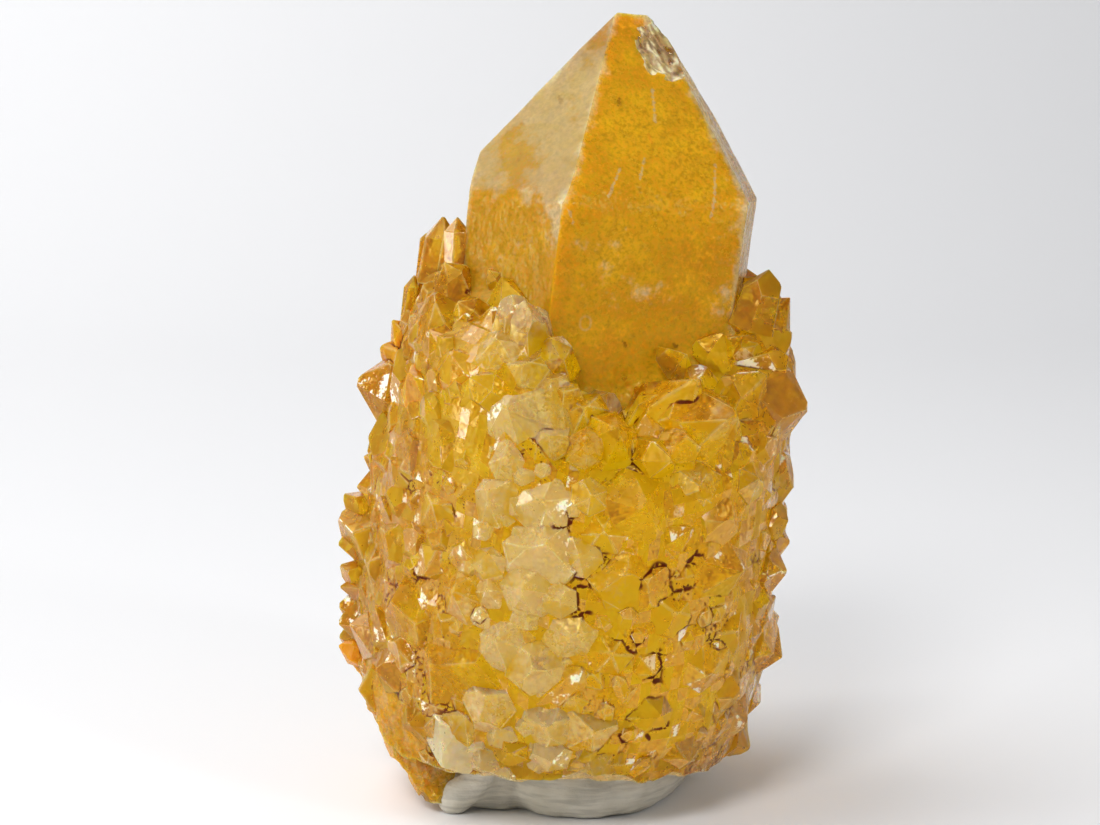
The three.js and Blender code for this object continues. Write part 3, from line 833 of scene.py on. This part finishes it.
class Finish:
    """A material being put together node by node."""

    def __init__(self, name):
        self.material = bpy.data.materials.new(name)
        self.material.use_nodes = True
        self.tree = self.material.node_tree
        self.tree.nodes.clear()

    def node(self, kind, settings=None, sockets=None, take=0):
        """Adds a node: its settings first, then the values or links of its sockets."""
        made = self.tree.nodes.new(kind)
        for setting, value in (settings or {}).items():
            setattr(made, setting, value)
        for socket, value in (sockets or {}).items():
            if isinstance(value, Wire):
                self.tree.links.new(value.socket, made.inputs[socket])
            elif isinstance(value, tuple) and len(value) == 3 and made.inputs[socket].type == "RGBA":
                made.inputs[socket].default_value = (*value, 1)
            else:
                made.inputs[socket].default_value = value
        return Wire(self, made.outputs[take]) if made.outputs else None

    def cover(self, solid, **ends):
        """Puts the finish on a solid, given its surface and what fills it."""
        self.node("ShaderNodeOutputMaterial", None, ends)
        solid.data.materials.clear()
        solid.data.materials.append(self.material)

    def spot(self):
        return self.node("ShaderNodeTexCoord", take="Object")

    def mark(self, name, take="Fac"):
        """A value written on the mesh."""
        return self.node("ShaderNodeAttribute", {"attribute_name": name}, take=take)

    def part(self, vector, axis):
        return self.node("ShaderNodeSeparateXYZ", None, {0: vector}, take=axis)

    def noise(self, place, scale, detail, roughness=0.5):
        return self.node(
            "ShaderNodeTexNoise", None,
            {"Vector": place, "Scale": scale, "Detail": detail, "Roughness": roughness}, take="Fac",
        )

    def ease(self, value, low, high, to_low=0.0, to_high=1.0):
        """A soft step: the value from low to high becomes to_low to to_high."""
        return self.node(
            "ShaderNodeMapRange", {"interpolation_type": "SMOOTHSTEP"},
            {"Value": value, "From Min": low, "From Max": high, "To Min": to_low, "To Max": to_high},
        )

    def within(self, value, full, none):
        """1 up to the full value, and softly down to 0 at the other."""
        return self.ease(value, full, none, 1.0, 0.0)

    def blend(self, share, under, over):
        """One colour over another."""
        return self.node("ShaderNodeMix", {"data_type": "RGBA"}, {0: share, 6: under, 7: over}, take=2)

    def tone(self, color, share):
        """A colour made lighter or darker."""
        grey = self.node("ShaderNodeCombineColor", None, {0: share, 1: share, 2: share})
        settings = {"data_type": "RGBA", "blend_type": "MULTIPLY"}
        return self.node("ShaderNodeMix", settings, {0: 1.0, 6: color, 7: grey}, take=2)


golden = (0.66, 0.345, 0.010)
amber = (0.60, 0.27, 0.008)
lemon = (0.78, 0.49, 0.010)
milky = (0.66, 0.50, 0.28)
rusty = (0.70, 0.26, 0.010)
dark_rust = (0.13, 0.014, 0.001)
frosty = (0.88, 0.78, 0.50)
# The next colour is a painted highlight: whitish glints painted into a few facets.
painted_glint = (0.94, 0.88, 0.70)
quartz_ior = 1.544

stained = Finish("stained_quartz")
spot = stained.spot()
to_right = stained.part(spot, "X")
below_tip = stained.part(stained.node("ShaderNodeUVMap", {"uv_map": "UVMap"}), "Y")  # in centimetres
milk, rust, clearness = stained.mark("milk"), stained.mark("rust"), stained.mark("clear")
facet, bare = stained.mark("facet"), stained.mark("bare")
sunk = stained.mark("sunk")  # millimetres below the tips around it
grown_over = 1 - bare

broad = stained.noise(spot, 130, 1, 0.6)
cloud = stained.noise(spot, 420, 2, 0.6)
mottle = stained.noise(spot, 760, 3, 0.75)
speck = stained.noise(spot, 2900, 1, 0.65)


def at_left(share, elsewhere=0.0):
    """One value at the left edge of the crust, and another from a centimetre further in."""
    return stained.ease(to_right, -0.016, -0.006, share, elsewhere)


def nearest_line(name):
    """Millimetres to the nearest crease or ridge around the facet."""
    edges = stained.mark(name, "Vector")
    return stained.part(edges, "X").least(stained.part(edges, "Y")).least(stained.part(edges, "Z"))


to_crease = nearest_line("to_crease")
crease = stained.within(to_crease + 0.16 * (cloud - 0.5), 0.03, 0.20) * grown_over
ridge = stained.within(nearest_line("to_ridge") + 0.25 * (cloud - 0.5), 0.03, 0.20) * grown_over

kind = stained.mark("mark_kind")
aside = stained.mark("mark_aside", "Vector")
across, before, beyond = (stained.part(aside, axis) for axis in "XYZ")
past_end = before.most(beyond).most(0.0)
from_mark = (across * across + past_end * past_end) ** 0.5
unsteady = from_mark + 0.5 * (speck - 0.5) + 0.35 * (mottle - 0.5)


def marked(number):
    """1 on the faces that carry this kind of mark."""
    return kind.maths("COMPARE", kind, number)


scratched = stained.within(unsteady, 0.03, 0.16) * marked(scratch)
darkened = stained.within(unsteady, 0.05, 0.22) * marked(dark_speck)
orange_spot = stained.within(unsteady, 0.10, 0.34) * marked(fleck)
ring_line = stained.ease(from_mark, 0.30, 0.42) * stained.within(from_mark, 0.46, 0.62) * marked(ring)
from_dirt = stained.mark("from_dirt")
gap_dirt = stained.within(to_crease + 0.5 * (mottle - 0.5), 0.10, 0.26)
gap_dirt = gap_dirt * stained.within(from_dirt + 1.6 * (cloud - 0.5), 0.8, 1.2)

low_down = stained.ease(below_tip + 0.12 * (cloud - 0.5), 0.08, 0.30) * grown_over
at_sides = stained.ease(to_right, 0.0, 0.014, 0.0, 0.16) + at_left(0.16)
amber_share = stained.ease(
    broad + 0.35 * (facet - 0.5) * grown_over + 0.5 * (mottle - 0.5) + (1.4 * (speck - 0.5) - 0.05) * bare
    + at_sides * grown_over, 0.36, 0.66,
)
lemon_share = stained.ease(cloud - 0.25 * (facet - 0.5) * grown_over, 0.46, 0.74) * (0.8 - 0.5 * bare)
veil = 1.35 * milk - 0.35 * low_down + (0.20 * (facet - 0.5) - 0.10 - at_left(0.26)) * grown_over
milk_share = stained.ease(veil + 0.5 * (cloud - 0.5) + 1.6 * (mottle - 0.5), 0.36, 1.05)
# Painted highlight: pale lines along some ridges, drawn in the milky colour.
painted_ridge_highlight = 0.6 * ridge * stained.ease(broad + 0.9 * (cloud - 0.5), 0.50, 0.66)
milk_share = milk_share.most(painted_ridge_highlight).most(0.6 * scratched + 0.35 * ring_line)
rust_share = stained.ease(
    rust + 0.5 * (broad - 0.5) + 0.20 * low_down * cloud + 0.25 * crease + 0.8 * orange_spot
    + stained.ease(from_dirt, 0.4, 2.4, 0.22, 0.0) * grown_over, 0.34, 0.95
)
deep = stained.ease(sunk + 0.9 * (cloud - 0.5), 1.3, 2.0) * grown_over
dark_share = deep * stained.ease(speck + (broad - 0.5) + 0.3 * rust - 0.5 * milk, 0.74, 0.82)
dark_share = dark_share.most(0.6 * darkened).most(gap_dirt * grown_over)
dark_share = dark_share.most(crease * stained.ease(cloud + 0.7 * (broad - 0.5) + 0.25 * rust, 0.64, 0.76))
color = stained.blend(amber_share, golden, amber)
color = stained.blend(lemon_share, color, lemon)
color = stained.blend(milk_share * 0.9, color, milky)
# Frosty white where milk runs highest; on the chip this is partly painted highlight.
color = stained.blend(stained.ease(milk + 0.8 * (mottle - 0.5), 1.1, 1.5), color, frosty)
color = stained.blend(rust_share * 0.75, color, rusty)
# Painted highlight: whitish glint patches painted into the colour of a few facets, shown through more skin.
painted_sparkle = stained.ease(facet, 0.965, 0.985) * stained.ease(mottle + 0.4 * (cloud - 0.5), 0.52, 0.62)
painted_sparkle = painted_sparkle * grown_over
color = stained.blend(painted_sparkle, color, painted_glint)
color = stained.blend(dark_share, color, dark_rust)
color = stained.tone(color, (0.86 + 0.14 * facet) * (0.82 + 0.36 * mottle) * (1 + 1.1 * (speck - 0.5) * bare))

relief = stained.noise(spot, 700, 2, 0.62)
surface = stained.node(
    "ShaderNodeBump", None,
    {"Strength": 0.53, "Distance": 0.0004, "Height": relief * (1 + 0.1 * bare + 0.8 * milk * grown_over)},
)
skin = stained.node(
    "ShaderNodeBsdfPrincipled", {"subsurface_method": "RANDOM_WALK"},
    {
        "Base Color": color, "Roughness": stained.ease(speck, 0.3, 0.7, 0.14, 0.40), "IOR": quartz_ior,
        "Specular IOR Level": 0.12, "Specular Tint": (1.0, 0.85, 0.5, 1.0),
        "Normal": surface, "Subsurface Weight": 1.0, "Subsurface Radius": (0.0034, 0.0020, 0.0006),
        "Subsurface Scale": 1.0,
    },
)
clear_tint = stained.blend(amber_share, (1.0, 0.74, 0.03), (1.0, 0.60, 0.02))
clear_tint = stained.blend(lemon_share, clear_tint, (1.0, 0.85, 0.06))
clear_tint = stained.blend(milk_share, clear_tint, (1.0, 0.92, 0.66))
clear_roughness = stained.ease(mottle + 0.3 * (facet - 0.5), 0.30, 0.70, 0.45, 0.08)
clear = stained.node(
    "ShaderNodeBsdfPrincipled", None,
    {
        "Base Color": clear_tint, "Roughness": clear_roughness, "IOR": quartz_ior,
        "Transmission Weight": 1.0, "Normal": surface, "Specular Tint": (1.0, 0.74, 0.18, 1.0),
        "Coat Weight": stained.ease(facet, 0.72, 0.80), "Coat Roughness": 0.05, "Coat IOR": 1.45,
    },
)
crust_skin = at_left(0.38, 0.27) + 0.20 * milk_share + 0.40 * rust_share + dark_share + 0.5 * painted_sparkle
crust_skin = crust_skin + 0.40 * (cloud - 0.5)
bare_skin = 0.98 - clearness + 0.5 * (cloud - 0.5)
skin_share = stained.node(
    "ShaderNodeMix", {"data_type": "FLOAT", "clamp_factor": True}, {0: bare, 2: crust_skin, 3: bare_skin}
)
whole = stained.node("ShaderNodeMixShader", None, {0: skin_share, 1: clear, 2: skin})
inside = stained.node("ShaderNodeVolumeAbsorption", None, {"Color": (1.0, 0.95, 0.03), "Density": 150.0})
stained.cover(quartz, Surface=whole, Volume=inside)
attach(quartz, "root")
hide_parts("cactus_quartz")

# ---- The putty ------------
# A lump of pale grey mounting putty, kneaded soft and pressed flat where it stands. The quartz is pushed
# down into it, and it is pinched out into a lobe at the left.

# The pad's height and radius, from its flat underside up.
putty_side = [
    (0, 8.0), (0.35, 8.9), (0.9, 9.6), (1.8, 10.25), (2.7, 10.65), (3.6, 10.75), (4.6, 10.7), (5.2, 10.5),
]


def putty_reach(azimuth, height):
    """The pad's outline against a round one, in millimetres more or less. The pinched lobe keeps low."""
    pinched = 2.2 * near(azimuth, -54, 12) * (1 - smooth_step(0.8, 3.4, height))
    pinched -= 1.6 * near(azimuth, -62, 16) * smooth_step(2.0, 4.0, height)
    pinched -= 1.1 * near(azimuth, -33, 7)
    squeezed = 0.8 * near(azimuth, 150, 30)
    return pinched + squeezed + 0.35 * math.sin(math.radians(3 * azimuth + 40))


pad = bmesh.new()
pad_top = putty_side[-1][0]
rings = [(radius, 0, height) for height, radius in putty_side]
spin_round(pad, [(0, 0, 0), *rings, (0, 0, pad_top)], steps=96)
for vert in pad.verts:
    azimuth = math.degrees(math.atan2(vert.co.x, -vert.co.y))
    radius = math.hypot(vert.co.x, vert.co.y)
    follows = 0.4 if vert.co.z < 0.1 else 0.84
    vert.co += outward(azimuth) * putty_reach(azimuth, vert.co.z) * min(1, radius / 8) * follows
turn_outwards(pad)

# A roll was pinched up against the tongue of the quartz at the left: x, y, height and radius along it.
pinch_path = [
    (-10.1, -6.9, 1.15, 1.2), (-9.7, -7.2, 1.7, 1.35), (-9.1, -7.6, 2.3, 1.35), (-8.5, -8.0, 2.9, 1.25),
    (-7.9, -8.3, 3.5, 1.15), (-7.3, -8.5, 4.1, 1.0),
]
broadened = Matrix.Diagonal((1.15, 1, 1, 1))
for x, y, z, radius in pinch_path:
    bmesh.ops.create_icosphere(
        pad, subdivisions=3, radius=radius, matrix=Matrix.Translation((x, y, z)) @ broadened
    )
pad_solid = make_solid("pad", pad)
kneading = pad_solid.modifiers.new("kneading", "REMESH")
kneading.mode = "VOXEL"
kneading.voxel_size = 0.28
softening = pad_solid.modifiers.new("softening", "SMOOTH")
softening.factor = 0.6
softening.iterations = 10
kneaded_pad = pad_solid.evaluated_get(bpy.context.evaluated_depsgraph_get())
putty_mesh = bmesh.new()
putty_mesh.from_mesh(kneaded_pad.to_mesh())
bpy.data.objects.remove(pad_solid)
putty_mesh.normal_update()
settled = 0.12
for vert, normal in [(vert, vert.normal.copy()) for vert in putty_mesh.verts]:
    place = vert.co.copy()
    dents = 0.30 * noise(place * 0.35) + 0.12 * noise(place * 0.9 + Vector((3, 0, 0)))
    stroke = place.x * 0.55 + place.z * 0.95 + 0.5 * noise(place * 0.4)
    strokes = 0.06 * noise(Vector((stroke * 5.5, place.x * 0.25, place.y * 0.2)))
    vert.co += normal * (dents + strokes)
    if place.z < 0.25:
        vert.co.z = place.z
    vert.co.z = max(0.0, vert.co.z - settled)
for face in putty_mesh.faces:
    face.smooth = True
putty_mesh.transform(Matrix.Scale(millimetre, 4))
putty = make_solid("pressed_putty", putty_mesh)

kneaded = Finish("kneaded_putty")
spot = kneaded.spot()
cloudy = kneaded.ease(kneaded.noise(spot, 200, 3), 0.35, 0.65)
# The putty's own pale grey, darkened and warmed: painted shade from the quartz above and painted golden light
# through it.
grey = kneaded.blend(cloudy, (0.45, 0.42, 0.34), (0.56, 0.53, 0.45))
combed = kneaded.node(
    "ShaderNodeMapping", None,
    {"Vector": spot, "Rotation": (0.0, math.radians(40), 0.0), "Scale": (260.0, 260.0, 2400.0)},
)
strokes = kneaded.noise(combed, 1.0, 3, 0.6) + 0.5 * kneaded.noise(spot, 2500, 3, 0.6)
rubbed = kneaded.node("ShaderNodeBump", None, {"Strength": 0.7, "Distance": 0.0002, "Height": strokes})
grey = kneaded.tone(grey, 0.82 + 0.30 * kneaded.ease(kneaded.noise(combed, 1.0, 2), 0.3, 0.6))
paste = kneaded.node(
    "ShaderNodeBsdfPrincipled", None,
    {
        "Base Color": grey, "Roughness": 0.7, "Normal": rubbed, "Subsurface Weight": 0.2,
        "Subsurface Radius": (0.001, 0.001, 0.001), "Subsurface Scale": 1.0,
    },
)
kneaded.cover(putty, Surface=paste)
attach(putty, "root")
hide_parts("mounting_putty")

# ---- The studio ------------
# A seamless white paper sweep. A large soft light hangs above, behind and to the left, a small key light
# stands in front at the left, and weaker ones light the sides and the sweep.

sweep = bmesh.new()
bmesh.ops.create_grid(sweep, x_segments=40, y_segments=80, size=0.5)
bmesh.ops.scale(sweep, vec=Vector((3.0, 1.6, 1)), verts=sweep.verts[:])
level_back = 0.25
sweep_bend = 0.25
for vert in sweep.verts:
    beyond = max(0.0, vert.co.y - level_back)
    if beyond > 0:
        turn = min(beyond / sweep_bend, math.pi / 2)
        upright = max(0.0, beyond - sweep_bend * math.pi / 2)
        vert.co.y = level_back + sweep_bend * math.sin(turn)
        vert.co.z = sweep_bend * (1 - math.cos(turn)) + upright
for face in sweep.faces:
    face.smooth = True
floor = make_solid("sweep", sweep)
paper = Finish("white_sweep")
sheet = paper.node("ShaderNodeBsdfPrincipled", None, {"Base Color": (0.83, 0.83, 0.84), "Roughness": 0.8})
paper.cover(floor, Surface=sheet)
floor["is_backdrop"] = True

world = bpy.data.worlds.new("studio_air")
world.use_nodes = True
air = world.node_tree.nodes["Background"]
air.inputs["Color"].default_value = (0.97, 0.98, 1.0, 1)
air.inputs["Strength"].default_value = 0.27
scene.world = world


def stand(name, what, place, aim):
    """Stands a light or a camera in place, facing its aim."""
    holder = bpy.data.objects.new(name, what)
    holder.location = place
    holder.rotation_euler = (Vector(aim) - Vector(place)).to_track_quat("-Z", "Y").to_euler()
    scene.collection.objects.link(holder)
    return holder


def soft_light(name, place, aim, size, watts):
    lamp = bpy.data.lights.new(name, "AREA")
    lamp.shape = "RECTANGLE"
    lamp.size, lamp.size_y = size
    lamp.energy = watts
    stand(name, lamp, place, aim)


soft_light("key", (-0.11, -0.29, 0.31), (0, 0, 0.03), (0.12, 0.12), 0.84)
soft_light("side", (-0.34, -0.10, 0.07), (0, 0, 0.02), (0.06, 0.14), 0.36)
soft_light("right", (0.24, -0.22, 0.20), (0, 0, 0.03), (0.04, 0.10), 0.17)
soft_light("overhead", (-0.27, 0.05, 0.46), (-0.02, 0.0, 0.0), (0.40, 0.40), 1.74)
soft_light("sweep", (-0.20, 0.30, 0.30), (-0.04, 0.55, 0.02), (0.20, 0.20), 0.24)

lens = bpy.data.cameras.new("camera")
lens.lens = 85
lens.sensor_width = 36
lens.clip_start = 0.01
looking_down = math.radians(10)
camera_distance = 0.218
aim = Vector((-0.002, 0, 0.0326))
place = aim - Vector((0, math.cos(looking_down), -math.sin(looking_down))) * camera_distance
scene.camera = stand("camera", lens, place, aim)
scene.view_settings.view_transform = "Standard"

low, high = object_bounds()
